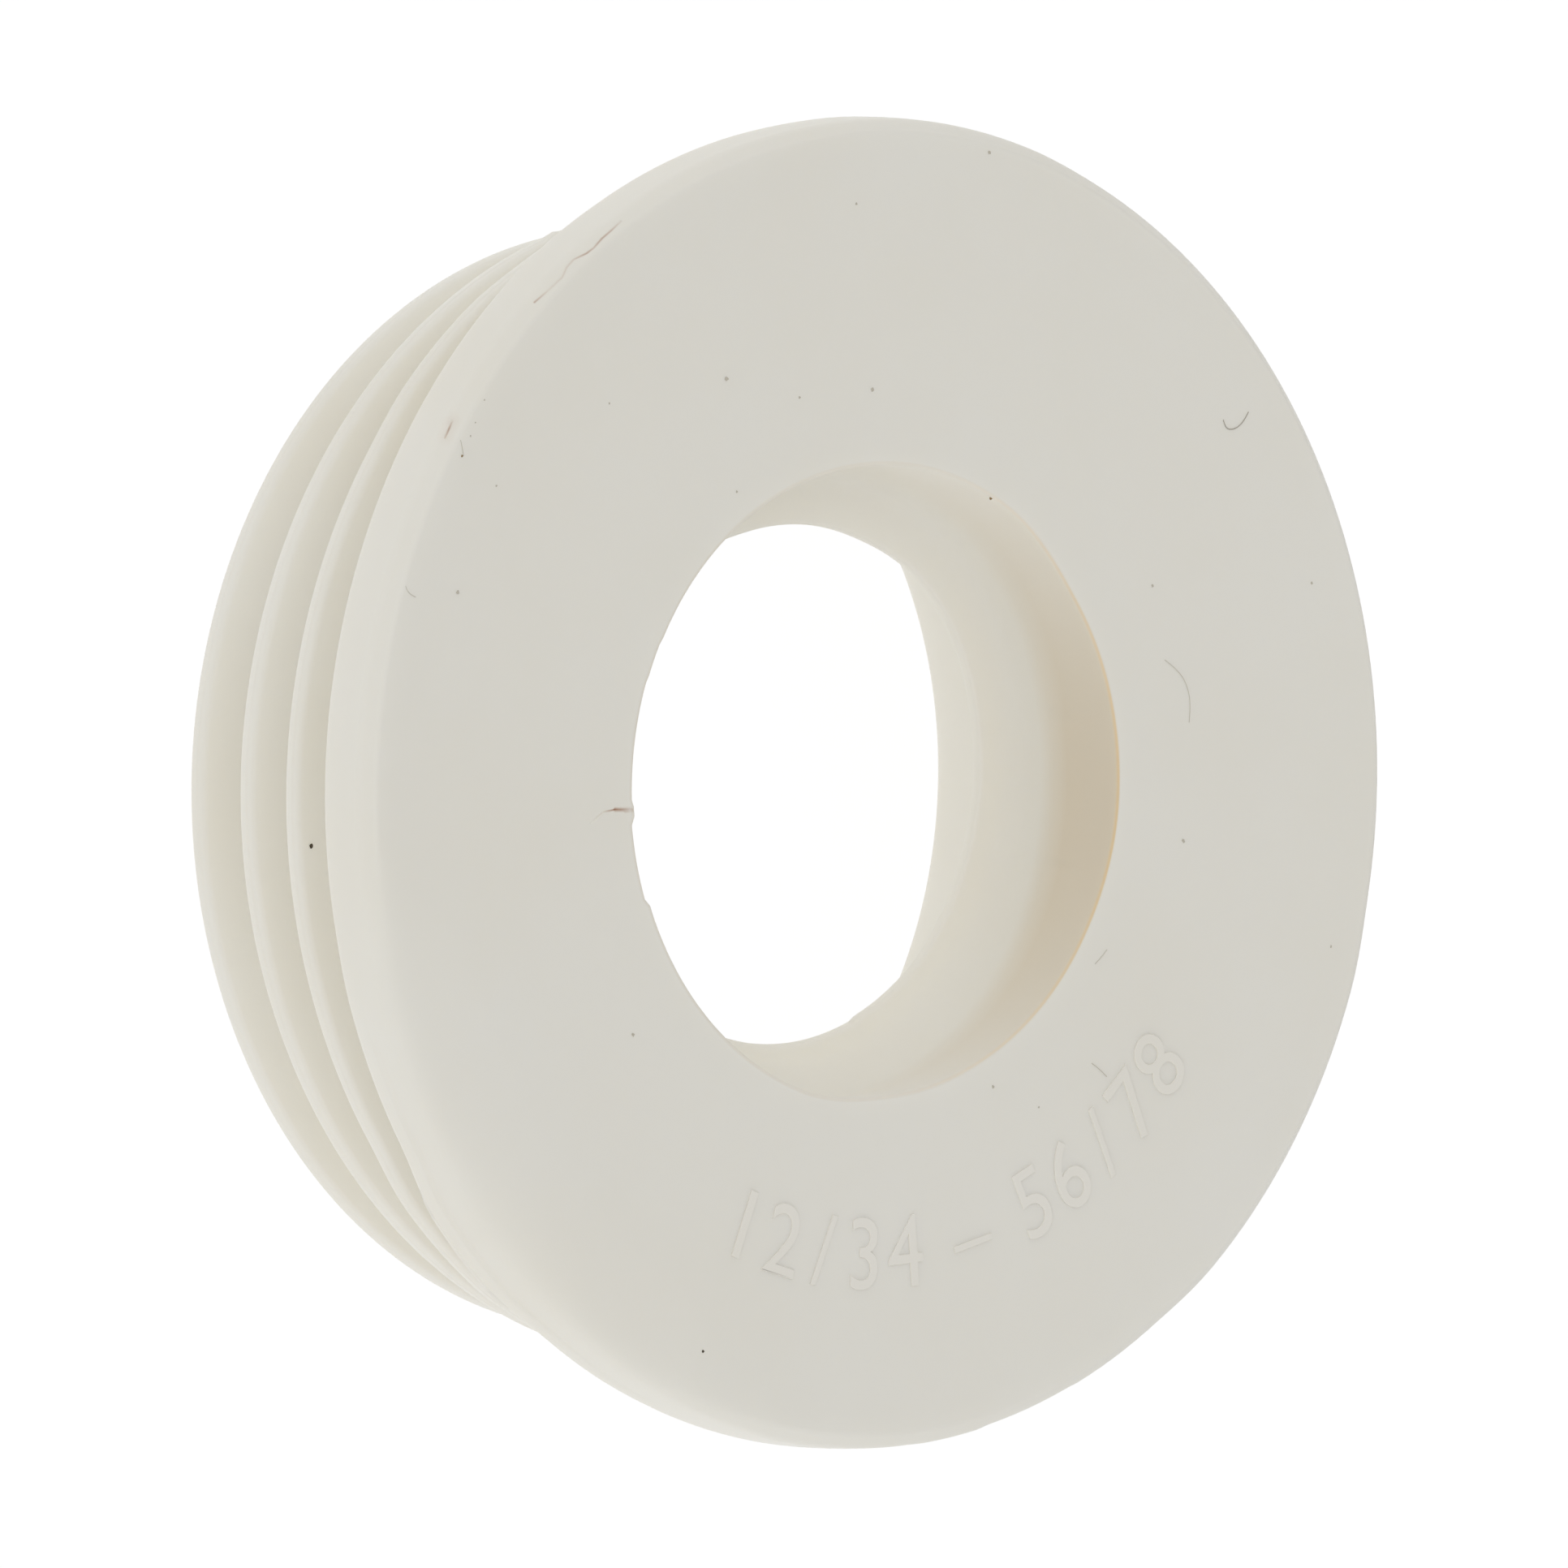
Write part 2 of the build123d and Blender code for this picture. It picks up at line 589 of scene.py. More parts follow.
    def section_corners(self) -> list[Corner]:
        """List the corners of the half section, from the socket's mouth outwards and round to its floor."""
        corners = [
            Corner(self.socket_radius, self.length, self.mouth_rounding),
            Corner(self.socket_radius + self.mouth_rounding + self.edge_line, self.length, 0.0),
            *(
                Corner(self.flange_radius - c.radius, self.length - c.height, c.rounding)
                for c in self.rim_bevel
            ),
            Corner(self.flange_radius, self.flange_back, self.flange_rear_rounding),
            Corner(self.skirt_root_radius, self.flange_back, self.fin_root_rounding),
        ]
        for fin in range(len(self.fin_heights)):
            corners += self.fin_corners(fin)
        return corners + [
            Corner(self.skirt_end_radius, 0.0, self.rear_outer_rounding),
            Corner(self.hollow_end_radius, 0.0, self.rear_inner_rounding),
            Corner(self.hollow_radius, self.hollow_top, self.hollow_rounding),
            Corner(self.sleeve_radius, self.hollow_top, self.hollow_rounding),
            Corner(self.sleeve_radius, self.lip_front - self.lip_root, self.sleeve_rounding),
            Corner(self.neck_radius, self.lip_front - self.lip_edge, self.lip_rounding),
            Corner(self.neck_radius, self.lip_front, self.lip_rounding),
            Corner(self.socket_radius, self.lip_front, self.floor_rounding),
        ]

    def draw_section(self) -> bpy.types.Object:
        """Draw the half section as a closed wire.

        Returns:
            The wire, in edit mode.
        """
        places = [Vector((c.radius, 0.0, c.height)) * MM for c in self.section_corners()]
        bpy.ops.object.select_all(action="DESELECT")
        bpy.ops.mesh.primitive_circle_add(vertices=len(places), radius=self.flange_radius * MM)
        piece = start_piece("rubber_connector")
        starts = [vertex.co.copy() for vertex in bmesh.from_edit_mesh(piece.data).verts]
        for start, place in zip(starts, places):
            select_where(piece, lambda co: (co - start).length < MERGE_DISTANCE)
            bpy.ops.transform.translate(value=place - start)
        return piece

    def round_section(self, piece: bpy.types.Object) -> None:
        """Round every corner of the wire by its own radius.

        Args:
            piece: The wire, in edit mode.
        """
        corners = self.section_corners()
        places = [Vector((c.radius, 0.0, c.height)) * MM for c in corners]
        for index, (corner, place) in enumerate(zip(corners, places)):
            if not corner.rounding:
                continue
            before = places[index - 1] - place
            after = places[(index + 1) % len(places)] - place
            tangent_length = corner.rounding * MM / tan(before.angle(after) / 2)
            select_where(piece, lambda co: (co - place).length < MERGE_DISTANCE)
            bpy.ops.mesh.bevel(
                offset=tangent_length, offset_type="OFFSET", affect="VERTICES", clamp_overlap=False,
                segments=min(3 + round(7 * corner.rounding), self.most_segments),
            )

    def divide_section(self, piece: bpy.types.Object) -> None:
        """Divide the long edges of the wire, so that the spun skin can be shaped.

        Args:
            piece: The wire, in edit mode.
        """
        bpy.ops.mesh.select_mode(type="EDGE")
        for cuts in (7, 3, 1):
            bpy.ops.mesh.select_all(action="DESELECT")
            mesh = bmesh.from_edit_mesh(piece.data)
            for edge in mesh.edges:
                edge.select = edge.calc_length() > self.longest_edge * MM * (cuts + 1) / 2
            mesh.select_flush(True)
            bmesh.update_edit_mesh(piece.data)
            bpy.ops.mesh.subdivide(number_cuts=cuts)
        bpy.ops.mesh.select_mode(type="VERT")

    def spin_section(self, piece: bpy.types.Object) -> None:
        """Spin the wire all the way round the axis into a closed skin.

        Args:
            piece: The wire, in edit mode.
        """
        bpy.ops.mesh.select_all(action="SELECT")
        bpy.ops.mesh.spin(steps=self.turn_steps, angle=tau, center=(0, 0, 0), axis=(0, 0, 1))
        bpy.ops.mesh.select_all(action="SELECT")
        bpy.ops.mesh.remove_doubles(threshold=MERGE_DISTANCE)
        bpy.ops.mesh.normals_make_consistent(inside=False)

    def refine_line(self, piece: bpy.types.Object, line: WornLine) -> None:
        """Halve the skin's edges along a worn line until they are finer than the line.

        Args:
            piece: The skin, in edit mode.
            line: The crease, slit or tear.
        """
        bpy.ops.mesh.select_mode(type="EDGE")
        reach = self.refine_reach
        while reach > line.width / 2:
            bpy.ops.mesh.select_all(action="DESELECT")
            mesh = bmesh.from_edit_mesh(piece.data)
            for edge in mesh.edges:
                middle = (edge.verts[0].co + edge.verts[1].co) / 2
                near = line.covers(middle, line.width + reach)
                edge.select = near and edge.calc_length() > reach / 2 * MM
            mesh.select_flush(True)
            bmesh.update_edit_mesh(piece.data)
            bpy.ops.mesh.subdivide(number_cuts=1)
            reach /= 2
        bpy.ops.mesh.select_mode(type="VERT")

    def press_line(self, piece: bpy.types.Object, line: WornLine) -> None:
        """Refine the skin along a worn line, soil it and press it in.

        Args:
            piece: The skin, in edit mode.
            line: The crease, slit or tear.
        """
        self.refine_line(piece, line)
        mesh = bmesh.from_edit_mesh(piece.data)
        grime = mesh.verts.layers.float.get(GRIME) or mesh.verts.layers.float.new(GRIME)
        for vertex in mesh.verts:
            if line.covers(vertex.co, line.width):
                gap, dirt = line.nearest(vertex.co)
                vertex[grime] = max(vertex[grime], dirt * (1 - gap / line.width))
        bmesh.update_edit_mesh(piece.data)
        select_where(piece, lambda co: line.covers(co, line.width / 3))
        bpy.ops.transform.translate(
            value=line.outward * -line.depth * MM, use_proportional_edit=True,
            proportional_edit_falloff="SMOOTH", proportional_size=line.width * MM,
        )

    def paint_socket_shade_and_glow(self, piece: bpy.types.Object) -> None:
        """Paint shade on the socket's wall, darkest from the mouth inwards and fading deeper in, and a warm
        painted glow along the mouth's edge, both mostly on the +Y side.

        Args:
            piece: The skin, in edit mode, still round.
        """
        mesh = bmesh.from_edit_mesh(piece.data)
        mesh.verts.layers.float.new(PAINTED_SHADE)
        mesh.verts.layers.float.new(PAINTED_GLOW)
        painted_shade, painted_glow = mesh.verts.layers.float[PAINTED_SHADE], mesh.verts.layers.float[PAINTED_GLOW]
        edge = self.socket_radius + self.mouth_rounding
        for vertex in mesh.verts:
            radius, height = hypot(vertex.co.x, vertex.co.y) / MM, vertex.co.z / MM
            inside = self.neck_radius + self.lip_flat < radius < edge + self.edge_line / 2
            if not inside or height < self.lip_front:
                continue
            turned = radians(bearing_of(vertex.co) - self.shade_and_glow_bearing)
            side = self.shade_and_glow_least + (1 - self.shade_and_glow_least) * max(cos(turned), 0.0) ** self.shade_and_glow_focus
            depth = self.length - height
            share = (self.painted_shade_depth[1] - depth) / (self.painted_shade_depth[1] - self.painted_shade_depth[0])
            wall = self.wall_painted_shade * side * min(max(share, 0.0), 1.0)
            over = max((radius - self.socket_radius) / self.mouth_rounding, 0.0)
            # Painted shade: the wall's darkening, blending across the mouth's rounding.
            vertex[painted_shade] = wall + over * (self.edge_painted_shade - wall)
            # Painted glow: a warm line across the middle of the mouth's rounding.
            vertex[painted_glow] = self.edge_painted_glow * side * max(1 - abs(2 * over - 1), 0.0)
        bmesh.update_edit_mesh(piece.data)

    def wear_edge(
        self, piece: bpy.types.Object, edge: SkinPoint, reach: tuple[float, float], softness: float,
        wear: tuple[EdgeWear, ...],
    ) -> None:
        """Trim or swell stretches of a round edge.

        Args:
            piece: The skin, in edit mode.
            edge: A point of the edge.
            reach: How far from it along the radius and the height the skin goes with it.
            softness: How far past that and past the stretch's ends the skin still follows.
            wear: The stretches, between two bearings each.
        """
        for stretch in wear:
            select_where(
                piece, lambda co: abs(hypot(co.x, co.y) / MM - edge.radius) < reach[0]
                and abs(co.z / MM - edge.height) < reach[1]
                and (bearing_of(co) - stretch.start) % 360 <= stretch.end - stretch.start,
            )
            scale = 1 + stretch.outward / edge.radius
            bpy.ops.transform.resize(
                value=(scale, scale, 1), center_override=(0, 0, 0), use_proportional_edit=True,
                use_proportional_connected=True, proportional_edit_falloff="SMOOTH",
                proportional_size=softness * MM,
            )

    def wear_edges(self, piece: bpy.types.Object) -> None:
        """Wear the mouth, the stop lip and the rim, and give them and the front fin their set.

        Args:
            piece: The skin, in edit mode.
        """
        mouth = SkinPoint(self.socket_radius, 0.0, self.length)
        lip = SkinPoint(self.neck_radius, 0.0, self.lip_front)
        rim = SkinPoint(self.flange_radius, 0.0, self.length)
        fin = SkinPoint(self.crest_radius(0), 0.0, self.crest_bottom(0) + self.fin_crest / 2)
        for edge, reach, softness, wear in (
            (mouth, self.mouth_reach, self.mouth_wear_softness, self.mouth_wear),
            (mouth, self.mouth_reach, self.mouth_set_softness, self.mouth_set),
            (lip, self.lip_reach, self.lip_wear_softness, self.lip_wear),
            (lip, self.lip_reach, self.lip_set_softness, self.lip_set),
            (rim, self.rim_reach, self.rim_wear_softness, self.rim_wear),
            (rim, self.rim_reach, self.rim_set_softness, self.rim_set),
            (fin, self.fin_reach, self.fin_set_softness, self.fin_set),
        ):
            self.wear_edge(piece, edge, reach, softness, wear)

    def raise_burr(self, piece: bpy.types.Object) -> None:
        """Pull up the small burr on a fin's crest.

        Args:
            piece: The skin, in edit mode.
        """
        place = self.burr.place()
        select_where(piece, lambda co: (co - place).length < self.burr_reach * MM)
        outward = Vector((place.x, place.y, 0)).normalized() * self.burr_height * MM
        bpy.ops.transform.translate(
            value=outward, use_proportional_edit=True, proportional_edit_falloff="SHARP",
            proportional_size=self.burr_reach * MM,
        )

    def soften_rim(self, piece: bpy.types.Object) -> None:
        """Smooth the rim's bevel away where it is rounder, step by step towards the middle of that stretch.

        Args:
            piece: The skin, in edit mode.
        """
        inner, bottom = self.flange_radius - self.soft_rim_width, self.flange_back + self.flange / 3
        for start, end in self.soft_rim:
            select_where(
                piece, lambda co: hypot(co.x, co.y) > inner * MM and co.z > bottom * MM
                and start <= bearing_of(co) <= end,
            )
            bpy.ops.mesh.vertices_smooth(factor=0.5, repeat=self.soft_rim_passes)

    def settle(self, piece: bpy.types.Object) -> None:
        """Give the soft ring its set: an oval flange, a skirt off its middle and a tilted stop lip.

        Args:
            piece: The skin, in edit mode.
        """
        tip = self.neck_radius + self.lip_edge
        lip_middle = Vector((0, 0, self.lip_front - self.lip_edge / 2)) * MM
        select_where(
            piece, lambda co: hypot(co.x, co.y) < tip * MM and abs(co.z - lip_middle.z) < self.lip_edge * MM
        )
        bend = {
            "use_proportional_edit": True, "use_proportional_connected": True,
            "proportional_edit_falloff": "SMOOTH", "proportional_size": self.lip_bend_reach * MM,
        }
        bpy.ops.transform.rotate(
            value=radians(self.lip_tilt), orient_axis="Y", center_override=lip_middle, **bend
        )
        bpy.ops.transform.translate(value=(0, 0, self.lip_rise * MM), **bend)
        bevel = self.rim_bevel
        sags = (
            (self.lip_sag, self.lip_sag_reach, (0.0, tip), (0.0, self.length)),
            (
                self.rim_sag, self.rim_sag_reach,
                (self.flange_radius - bevel[0].radius, self.flange_radius),
                (self.length - bevel[1].height, self.length),
            ),
            (
                self.back_sag, self.back_sag_reach, (self.crest_radius(0), self.flange_radius),
                (self.flange_back, self.flange_back + self.flange_rear_rounding),
            ),
        )
        for sag, reach, radii, heights in sags:
            select_where(
                piece, lambda co: radii[0] <= hypot(co.x, co.y) / MM <= radii[1] + self.edge_line
                and heights[0] - self.edge_line <= co.z / MM <= heights[1] + self.edge_line
                and sag.start <= bearing_of(co) <= sag.end,
            )
            bend["proportional_size"] = reach * MM
            bpy.ops.transform.translate(value=(0, 0, sag.outward * MM), **bend)
        select_where(piece, lambda co: co.z > (self.flange_back - self.fin_root_rounding) * MM)
        stretch = [1 + change / self.flange_radius for change in self.flange_oval]
        bpy.ops.transform.resize(value=(stretch[0], stretch[1], 1), center_override=(0, 0, 0))
        bpy.ops.transform.translate(value=Vector((*self.flange_shift, 0)) * MM)
        select_where(
            piece, lambda co: co.z < (self.crest_bottom(0) + self.fin_crest) * MM
            and hypot(co.x, co.y) > self.hollow_radius * MM,
        )
        bpy.ops.transform.translate(
            value=Vector((*self.skirt_shift, 0)) * MM, use_proportional_edit=True,
            use_proportional_connected=True, proportional_edit_falloff="SMOOTH",
            proportional_size=self.skirt_bend_reach * MM,
        )

    def build(self, material: bpy.types.Material) -> bpy.types.Object:
        """Model the ring and dress it.

        Args:
            material: The rubber that it is moulded in.

        Returns:
            The finished piece.
        """
        piece = self.draw_section()
        self.round_section(piece)
        self.divide_section(piece)
        self.spin_section(piece)
        # Paint shade on the socket's wall and a warm glow along its mouth's edge.
        self.paint_socket_shade_and_glow(piece)
        for line in self.worn_lines:
            self.press_line(piece, line)
        self.wear_edges(piece)
        self.raise_burr(piece)
        self.soften_rim(piece)
        self.settle(piece)
        bpy.ops.object.mode_set(mode="OBJECT")
        dress_piece(piece, material, self.smooth_angle)
        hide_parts(NODE)
        return piece


@dataclass
class SizeMark:
    """The raised size mark on the front face: plain numbers on an arc, thin rounded strokes."""

    text: str = "12/34\u201356/78"
    radius: float = 23.3
    first_bearing: float = -19.1
    pitch: float = 6.6
    dash_room: float = 4.1
    size: float = 5.1
    narrowing: float = 0.95
    thinning: float = 0.04
    half_height: float = 0.03
    edge: float = 0.045
    smooth_angle: float = 30.0
    dash: str = "\u2013"

    def bearings(self) -> list[float]:
        """List the bearing of each character, with more room round a dash."""
        bearings = []
        bearing = self.first_bearing
        for character in self.text:
            room = self.dash_room if character == self.dash else 0.0
            bearings.append(bearing + room)
            bearing += self.pitch + 2 * room
        return bearings

    def build(self, material: bpy.types.Material) -> bpy.types.Object:
        """Model the mark and dress it.

        Args:
            material: The rubber that it is moulded in.

        Returns:
            The finished piece.
        """
        characters = []
        for character, bearing in zip(self.text, self.bearings()):
            bpy.ops.object.select_all(action="DESELECT")
            place = SkinPoint(self.radius, bearing).place()
            bpy.ops.object.text_add(location=place, rotation=(0, 0, radians(90 + bearing)))
            sign = bpy.context.object
            sign.data.body = character
            sign.data.align_x, sign.data.align_y = "CENTER", "CENTER"
            sign.data.size = self.size * MM
            sign.data.extrude = self.half_height * MM
            sign.data.bevel_depth = self.edge * MM
            sign.data.bevel_resolution = 2
            sign.data.offset = -self.thinning * MM
            sign.scale.x = self.narrowing
            bpy.ops.object.convert(target="MESH")
            characters.append(bpy.context.object)
        piece = join_pieces(characters, "raised_size_mark")
        dress_piece(piece, material, self.smooth_angle)
        return piece


@dataclass
class DustSpecks:
    """Specks of dust stuck to the skin: flattened, uneven crumbs."""

    name: str
    specks: tuple[tuple[SkinPoint, float], ...]
    flatness: float = 0.25
    unevenness: float = 0.25
    smooth_angle: float = 60.0

    def build(self, finish: Lint) -> bpy.types.Object:
        """Model the specks as one piece and dress it.

        Args:
            finish: What the dust is made of.

        Returns:
            The finished piece.
        """
        crumbs = []
        for index, (point, size) in enumerate(self.specks):
            bpy.ops.object.select_all(action="DESELECT")
            bpy.ops.mesh.primitive_ico_sphere_add(
                subdivisions=2, radius=size / 2 * MM, location=point.place()
            )
            crumb = start_piece(f"{self.name}_{index}")
            bpy.ops.mesh.select_all(action="SELECT")
            bpy.ops.transform.vertex_random(offset=size * self.unevenness * MM, uniform=1.0, seed=index)
            bpy.ops.transform.resize(value=(1, 1, self.flatness), center_override=point.place())
            bpy.ops.object.mode_set(mode="OBJECT")
            crumbs.append(crumb)
        piece = join_pieces(crumbs, self.name)
        dress_piece(piece, finish.material(), self.smooth_angle)
        return piece


@dataclass
class LintFibres:
    """Fine fibres that lie on the skin."""

    name: str
    fibres: tuple[tuple[SkinPoint, ...], ...]
    thickness: float = 0.055
    sides: int = 1
    smooth_angle: float = 80.0

    def build(self, finish: Lint) -> bpy.types.Object:
        """Model the fibres as one piece and dress it.

        Args:
            finish: What the fibres are made of.

        Returns:
            The finished piece.
        """
        threads = []
        for points in self.fibres:
            bpy.ops.object.select_all(action="DESELECT")
            bpy.ops.curve.primitive_nurbs_path_add(location=(0, 0, 0))
            thread = bpy.context.object
            thread.data.splines.clear()
            spline = thread.data.splines.new("NURBS")
            spline.points.add(len(points) - 1)
            for knot, point in zip(spline.points, points):
                knot.co = (*point.place(), 1.0)
            spline.order_u = 3
            spline.use_endpoint_u = True
            thread.data.bevel_depth = self.thickness / 2 * MM
            thread.data.bevel_resolution = self.sides
            thread.data.use_fill_caps = True
            bpy.ops.object.convert(target="MESH")
            threads.append(bpy.context.object)
        piece = join_pieces(threads, self.name)
        dress_piece(piece, finish.material(), self.smooth_angle)
        return piece


@dataclass
class Studio:
    """A white light tent on a light table: pale floor, and soft light from below and from each side."""

    floor_size: float = 3.0
    floor_white: float = 0.93
    floor_grey: str = "#626262"
    tent_colour: str = "#E6E5E2"
    paper_white: str = "#FFFFFF"
    table_light: float = 1.14
    table_edge: float = 0.02
    tent_light: tuple[tuple[Side, float], ...] = (
        (Side.PHOTO_BOTTOM, 1.085), (Side.UPPER_PHOTO_TOP, 1.055), (Side.UPPER_PHOTO_BOTTOM, 0.37),
        (Side.UPPER_CAMERA, 0.59), (Side.FAR, 0.095),
    )

    def white_to_camera(self, tree: bpy.types.NodeTree) -> bpy.types.NodeSocket:
        """Make a mask of the rays that see the background as white.

        Args:
            tree: The node tree of the floor or the world.

        Returns:
            A socket that is 1 for camera, glossy and transmission rays.
        """
        rays = add_node(tree, "ShaderNodeLightPath", {}, {}).outputs
        seen = add_node(
            tree, "ShaderNodeMath", {"operation": "MAXIMUM"},
            {0: rays["Is Camera Ray"], 1: rays["Is Glossy Ray"]},
        )
        return add_node(
            tree, "ShaderNodeMath", {"operation": "MAXIMUM"},
            {0: seen.outputs[0], 1: rays["Is Transmission Ray"]},
        ).outputs[0]

    def lay_floor(self) -> None:
        """Lay the floor, which looks white and still shows the object's shadow."""
        bpy.ops.object.select_all(action="DESELECT")
        bpy.ops.mesh.primitive_plane_add(size=self.floor_size)
        floor = bpy.context.object
        floor.name = "pale_floor"
        material, tree = new_material("pale_paper")
        paper = add_node(tree, "ShaderNodeBsdfDiffuse", {}, {"Color": linear_colour(self.floor_grey)})
        level = add_node(
            tree, "ShaderNodeMath", {"operation": "MULTIPLY"},
            {0: self.white_to_camera(tree), 1: self.floor_white},
        )
        white = add_node(tree, "ShaderNodeEmission", {}, {"Strength": level.outputs[0]})
        both = add_node(
            tree, "ShaderNodeAddShader", {}, {0: paper.outputs["BSDF"], 1: white.outputs["Emission"]}
        )
        add_node(tree, "ShaderNodeOutputMaterial", {}, {"Surface": both.outputs["Shader"]})
        floor.data.materials.append(material)
        floor.visible_diffuse = False
        floor.visible_shadow = False

    def side_glow(
        self, tree: bpy.types.NodeTree, direction: bpy.types.NodeSocket, side: Side, level: float
    ) -> bpy.types.NodeSocket:
        """Make the light of one side, strongest straight from it and fading to its edge.

        Args:
            tree: The world's node tree.
            direction: The direction that the light is looked up in.
            side: The side that it comes from.
            level: Its strength straight from that side.

        Returns:
            The socket with the strength in the direction.
        """
        facing = add_node(
            tree, "ShaderNodeVectorMath", {"operation": "DOT_PRODUCT"}, {0: direction, 1: side.value}
        )
        toward = add_node(
            tree, "ShaderNodeMath", {"operation": "MAXIMUM"}, {0: facing.outputs["Value"], 1: 0.0}
        )
        squared = add_node(
            tree, "ShaderNodeMath", {"operation": "POWER"}, {0: toward.outputs[0], 1: 2.0}
        )
        return add_node(
            tree, "ShaderNodeMath", {"operation": "MULTIPLY"}, {0: squared.outputs[0], 1: level}
        ).outputs[0]

    def hang_tent(self) -> None:
        """Light the scene with a world made of the light table and the tent's sides."""
        world = bpy.data.worlds.new("light_tent")
        bpy.context.scene.world = world
        world.use_nodes = True
        tree = world.node_tree
        tree.nodes.clear()
        direction = add_node(tree, "ShaderNodeTexCoord", {}, {}).outputs["Generated"]
        tent: Union[bpy.types.NodeSocket, float] = 0.0
        for side, level in self.tent_light:
            glow = self.side_glow(tree, direction, side, level)
            tent = add_node(tree, "ShaderNodeMath", {"operation": "ADD"}, {0: tent, 1: glow}).outputs[0]
        height = add_node(tree, "ShaderNodeSeparateXYZ", {}, {"Vector": direction}).outputs["Z"]
        level = add_node(
            tree, "ShaderNodeMapRange", {},
            {"Value": height, "From Min": -self.table_edge, "From Max": self.table_edge,
             "To Min": self.table_light, "To Max": tent},
        )
        white = self.white_to_camera(tree)
        strength = add_node(
            tree, "ShaderNodeMix", {"data_type": "FLOAT"}, {0: white, 2: level.outputs[0], 3: 1.0}
        )
        colour = add_node(
            tree, "ShaderNodeMix", {"data_type": "RGBA"},
            {0: white, 6: linear_colour(self.tent_colour), 7: linear_colour(self.paper_white)},
        )
        light = add_node(
            tree, "ShaderNodeBackground", {}, {"Color": colour.outputs[2], "Strength": strength.outputs[0]}
        )
        add_node(tree, "ShaderNodeOutputWorld", {}, {"Surface": light.outputs["Background"]})


@dataclass
class PortraitCamera:
    """The photograph's long-lens view of the front face, rolled so that the axis points right."""

    frame_px: float = 1932.0
    face_centre_px: tuple[float, float] = (1082.81, 968.47)
    flange_radius_px: float = 824.23
    tilt: float = 40.416
    roll: float = 2.274
    distance_in_radii: float = 80.0
    sensor: float = 36.0
    near: float = 0.1
    far: float = 20.0

    def place(self, body: ConnectorBody) -> None:
        """Add the camera and make it the scene's camera.

        Args:
            body: The connector, whose front face the view is measured on.
        """
        tilt, roll = radians(self.tilt), radians(self.roll)
        radius = body.flange_radius * MM
        backward = Vector((0, -sin(tilt), cos(tilt)))
        along = Vector((0, cos(tilt), sin(tilt)))
        across = Vector((-1, 0, 0))
        right = along * cos(roll) + across * sin(roll)
        up = across * cos(roll) - along * sin(roll)
        distance = self.distance_in_radii * radius
        middle = self.frame_px / 2
        pixel = radius / self.flange_radius_px
        shift_right, shift_down = [(c - middle) * pixel for c in self.face_centre_px]
        face_centre = Vector((0, 0, body.length * MM))
        eye = face_centre - right * shift_right + up * shift_down + backward * distance
        lens = bpy.data.cameras.new("portrait_camera")
        lens.sensor_width = self.sensor
        lens.lens = self.flange_radius_px * self.distance_in_radii / self.frame_px * self.sensor
        lens.clip_start, lens.clip_end = self.near, self.far
        camera = bpy.data.objects.new("portrait_camera", lens)
        turn = Matrix((right, up, backward)).transposed().to_4x4()
        camera.matrix_world = Matrix.Translation(eye) @ turn
        bpy.context.scene.collection.objects.link(camera)
        bpy.context.scene.camera = camera


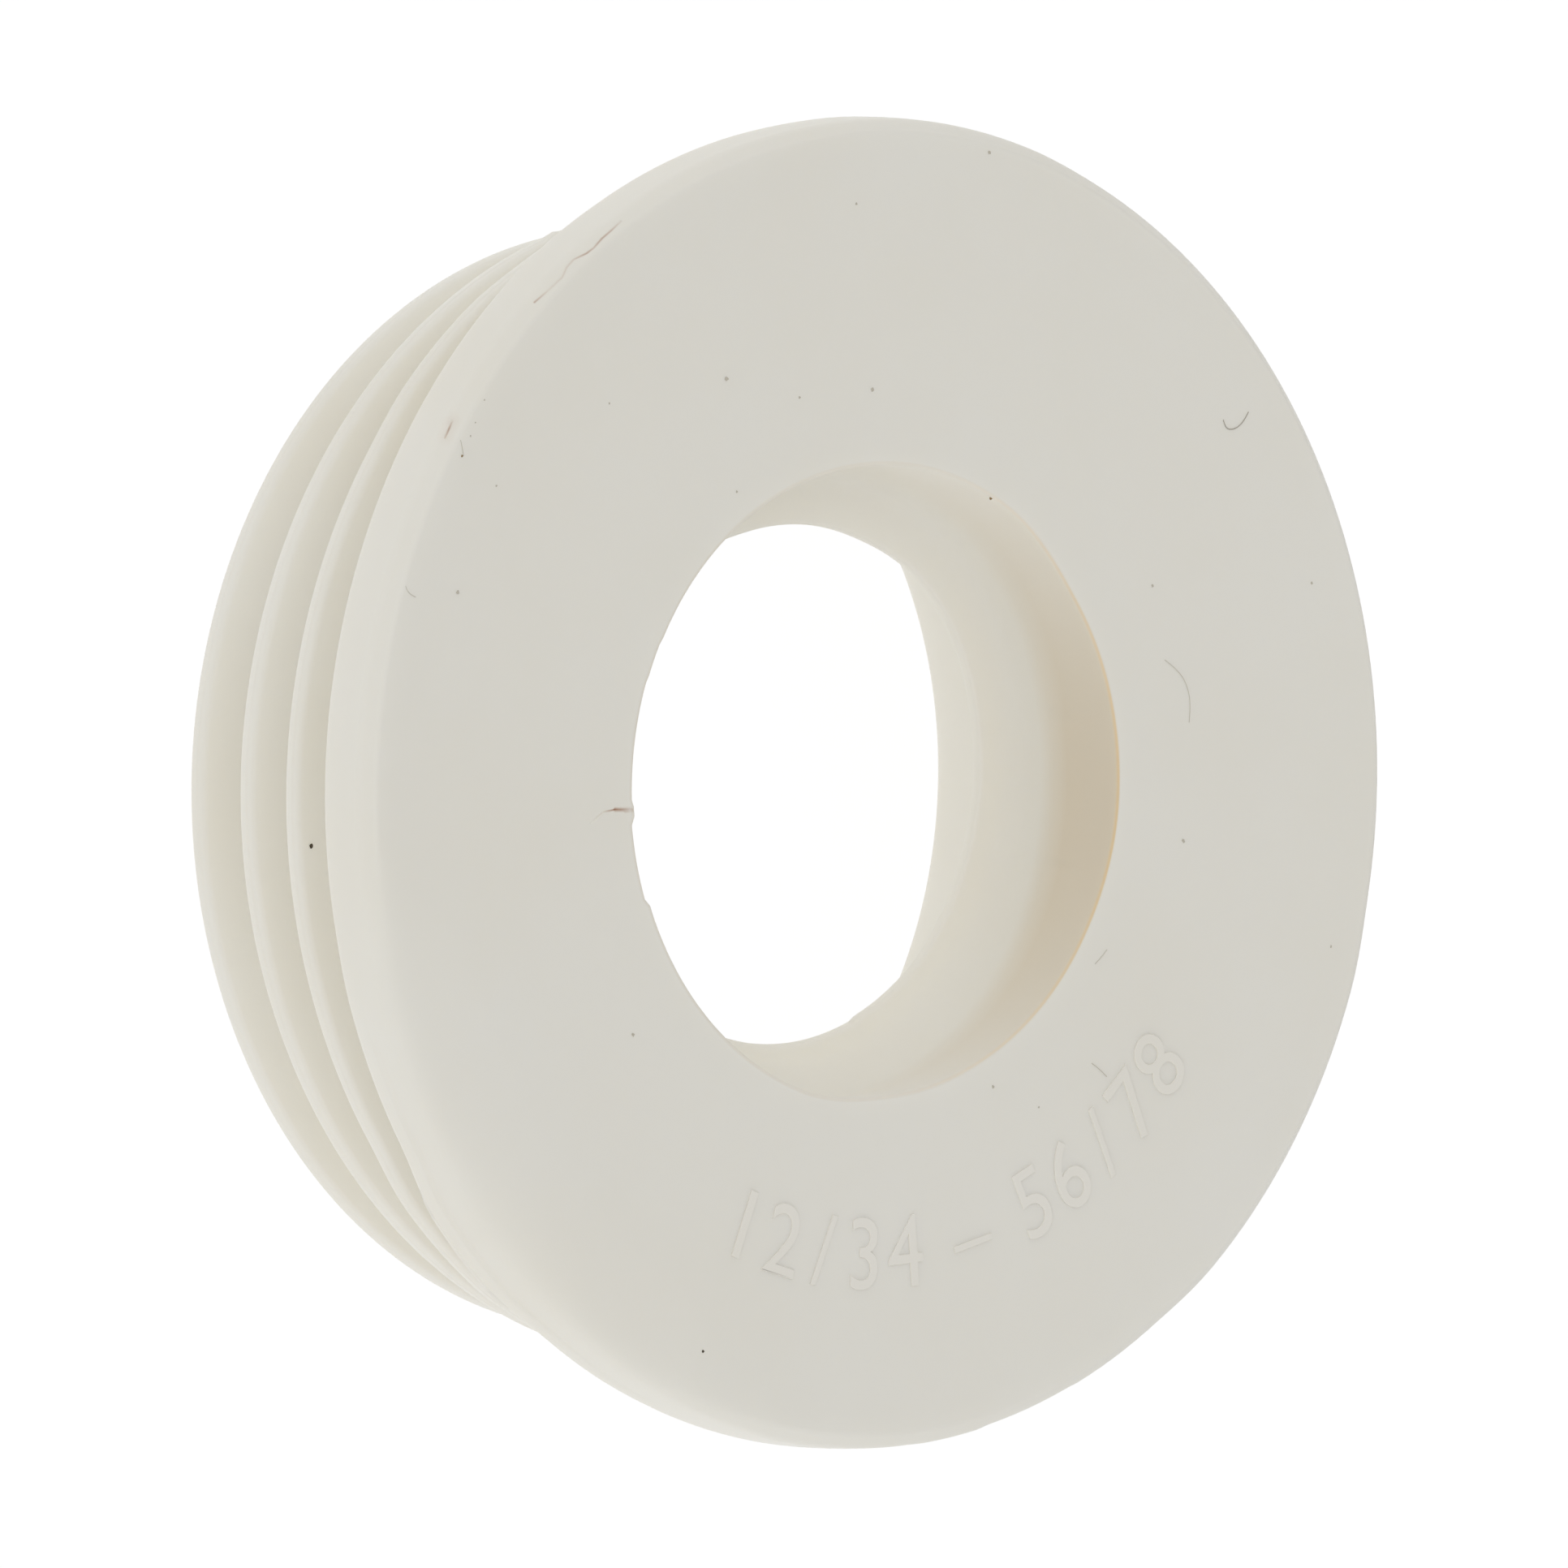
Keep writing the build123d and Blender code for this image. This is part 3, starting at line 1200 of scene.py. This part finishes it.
def add_dust() -> None:
    """Lay the dust and the lint where the photograph shows them."""
    dark_specks = DustSpecks(
        "dark_dust_specks", ((SkinPoint(29.84, -19.4), 0.13), (SkinPoint(29.51, -82.1, 13.46), 0.2)),
    )
    dark_specks.build(Lint("dark_dust", "#3B352B", "#5A5040"))
    brown_specks = DustSpecks(
        "brown_dust_specks",
        (
            (SkinPoint(15.88, 155.3, 21.8), 0.16), (SkinPoint(15.5, 21.7, 21.88), 0.12),
            (SkinPoint(31.64, -119.0), 0.12),
        ),
    )
    brown_specks.build(Lint("brown_dust", "#8C6F4A", "#A08862"))
    pale_specks = DustSpecks(
        "pale_dust_specks",
        (
            (SkinPoint(22.52, -151.1), 0.2), (SkinPoint(19.57, -175.8), 0.18), (SkinPoint(17.32, -145.0), 0.12),
            (SkinPoint(28.79, -174.1), 0.13), (SkinPoint(31.97, 170.0), 0.18),
            (SkinPoint(19.83, -50.2), 0.17), (SkinPoint(20.21, 121.1), 0.15), (SkinPoint(20.09, 84.0), 0.2),
            (SkinPoint(28.94, -107.4), 0.18), (SkinPoint(16.78, 29.3), 0.15), (SkinPoint(19.19, 35.8), 0.1),
            (SkinPoint(29.8, 111.5), 0.14), (SkinPoint(30.78, 76.7), 0.12), (SkinPoint(19.93, -162.1), 0.12),
            (SkinPoint(28.99, -118.8), 0.1), (SkinPoint(32.02, -124.5), 0.09), (SkinPoint(31.84, -122.3), 0.08),
            (SkinPoint(31.72, -121.0), 0.09), (SkinPoint(25.89, -134.8), 0.09),
        ),
    )
    pale_specks.build(Lint("pale_dust", "#C6C0B3", "#D6D0C4"))
    fibres = LintFibres(
        "lint_fibres",
        (
            (
                SkinPoint(28.58, 131.2), SkinPoint(28.44, 130.5), SkinPoint(28.63, 129.8),
                SkinPoint(29.15, 129.4), SkinPoint(29.7, 129.5), SkinPoint(30.11, 129.8),
            ),
        ),
    )
    fibres.build(Lint("grey_lint", "#AAA49A", "#BAB4AA"))
    faint_fibres = LintFibres(
        "faint_lint_fibres",
        (
            (SkinPoint(17.08, 63.4), SkinPoint(16.96, 61.6), SkinPoint(16.77, 60.0)),
            (SkinPoint(19.72, 47.6), SkinPoint(20.3, 48.1), SkinPoint(20.9, 48.2)),
            (SkinPoint(32.15, -120.1, 21.9), SkinPoint(31.9, -119.7), SkinPoint(31.57, -119.1)),
            (
                SkinPoint(19.52, 110.4), SkinPoint(20.23, 108.2), SkinPoint(20.61, 105.7),
                SkinPoint(20.64, 103.0), SkinPoint(20.4, 100.6),
            ),
            (SkinPoint(32.2, -106.0, 21.89), SkinPoint(32.0, -105.4), SkinPoint(31.42, -105.4)),
        ),
        thickness=0.045,
    )
    faint_fibres.build(Lint("pale_lint", "#D0CBC0", "#D8D3C8"))


def main() -> None:
    """Build the connector, its dust, the studio and the camera in order."""
    logging.basicConfig(level=logging.INFO, format="%(name)s: %(message)s")
    bpy.context.scene.view_settings.view_transform = "Standard"
    rubber = MouldedRubber().material()
    body = ConnectorBody()
    body.build(rubber)
    SizeMark().build(replace(MouldedRubber(), name="moulded_soft_rubber_thin", glow_weight=0.0).material())
    add_dust()
    studio = Studio()
    studio.lay_floor()
    studio.hang_tent()
    PortraitCamera().place(body)


if __name__ == "__main__":
    main()
